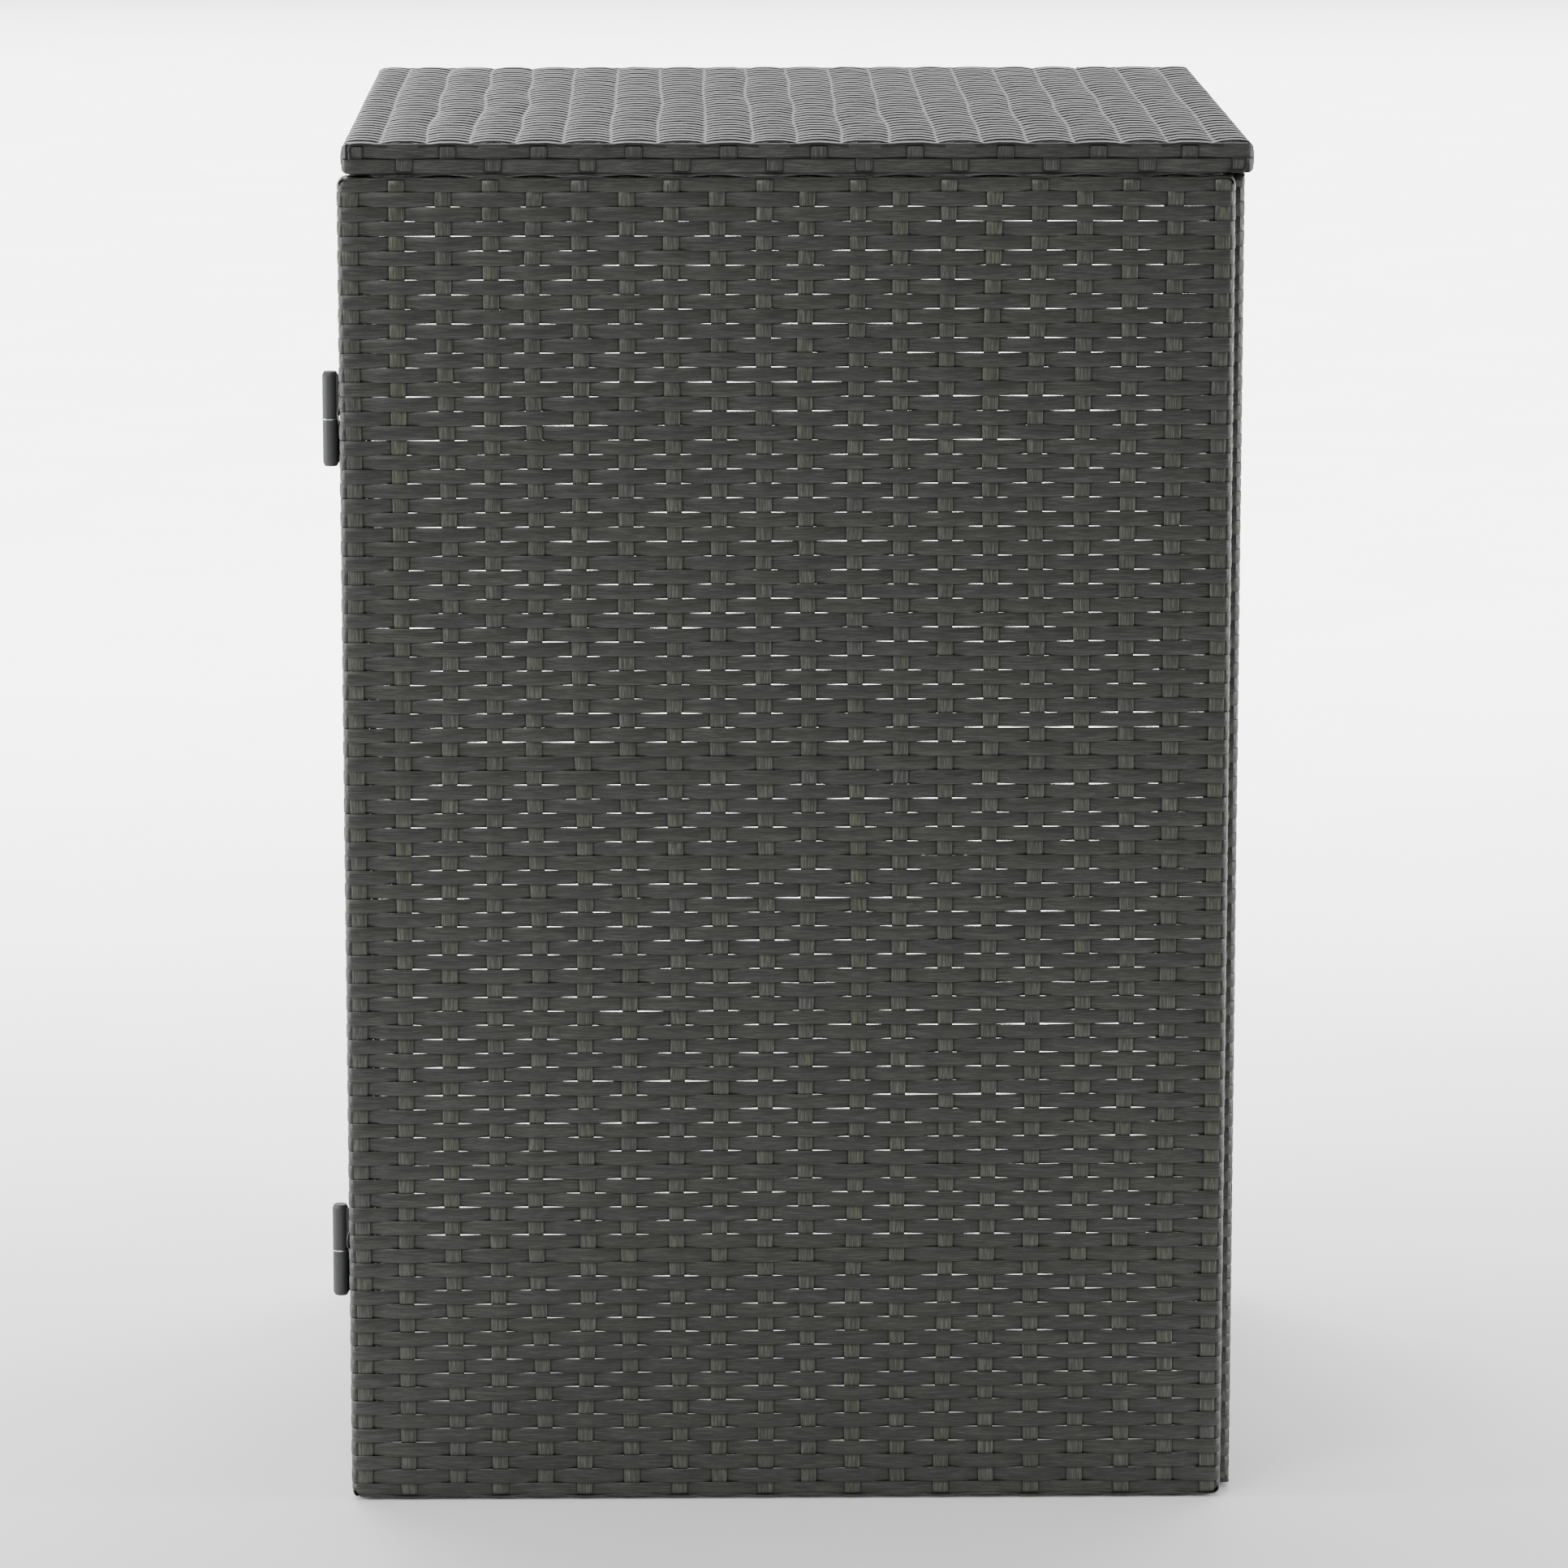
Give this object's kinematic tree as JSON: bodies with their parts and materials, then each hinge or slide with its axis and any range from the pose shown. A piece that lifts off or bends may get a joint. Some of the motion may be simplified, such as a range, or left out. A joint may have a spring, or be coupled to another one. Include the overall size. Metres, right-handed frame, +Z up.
{
  "type": "woven storage shed",
  "caption": "Upright outdoor storage box of steel tube panels skinned with dark woven strip, with a side-hinged front door, a rear-hinged lid and an open back that stands against a wall.",
  "frame": {"origin": "on the floor, in the middle of the footprint of the whole object, hinge barrels included", "axes": "+Z up; the door faces -Y and the open back faces +Y; the door's barrel hinges stand on the -X side"},
  "size_m": [0.7997, 0.7723, 1.2],
  "materials": {
    "weave": "woven polymer strip, satin, grained lengthwise",
    "dark_steel": "powder coat, matte, fine texture",
    "zinc_steel": "zinc plated",
    "black_plastic": "moulded, matte",
    "rubber": "soft, matte",
    "magnet": "sintered, dull"
  },
  "bodies": {
    "carcass": {"left_side_frame": "dark_steel", "left_side_weave": "weave", "right_side_frame": "dark_steel", "right_side_weave": "weave", "front_top_rail": "dark_steel", "rear_top_rail": "dark_steel", "rear_bottom_rail": "dark_steel", "rail_bolts": "zinc_steel", "floor_glides": "black_plastic", "lid_buffers": "rubber", "upper_hinge_pin_half": "dark_steel", "lower_hinge_pin_half": "dark_steel", "upper_hinge_washer": "zinc_steel", "lower_hinge_washer": "zinc_steel", "left_lid_hinge_rail_leaf": "dark_steel", "right_lid_hinge_rail_leaf": "dark_steel", "left_lid_hinge_pin": "zinc_steel", "right_lid_hinge_pin": "zinc_steel", "upper_door_catch": "black_plastic", "lower_door_catch": "black_plastic", "catch_magnets": "magnet", "catch_screws": "zinc_steel"},
    "door": {"door_frame": "dark_steel", "door_weave": "weave", "upper_hinge_socket_half": "dark_steel", "lower_hinge_socket_half": "dark_steel", "upper_catch_strike": "zinc_steel", "lower_catch_strike": "zinc_steel", "strike_rivets": "zinc_steel"},
    "lid": {"lid_frame": "dark_steel", "lid_weave": "weave", "left_lid_hinge_lid_leaf": "dark_steel", "right_lid_hinge_lid_leaf": "dark_steel"}
  },
  "joints": [
    {"name": "door_hinge", "type": "hinge", "parent": "carcass", "child": "door", "pos_m": [-0.3926, -0.35865, 0.22258], "axis": [0, 0, -1], "range_deg": [0, 180]},
    {"name": "lid_hinge", "type": "hinge", "parent": "carcass", "child": "lid", "pos_m": [0.0096, 0.38015, 1.1725], "axis": [-1, 0, 0], "range_deg": [0, 100]}
  ]
}
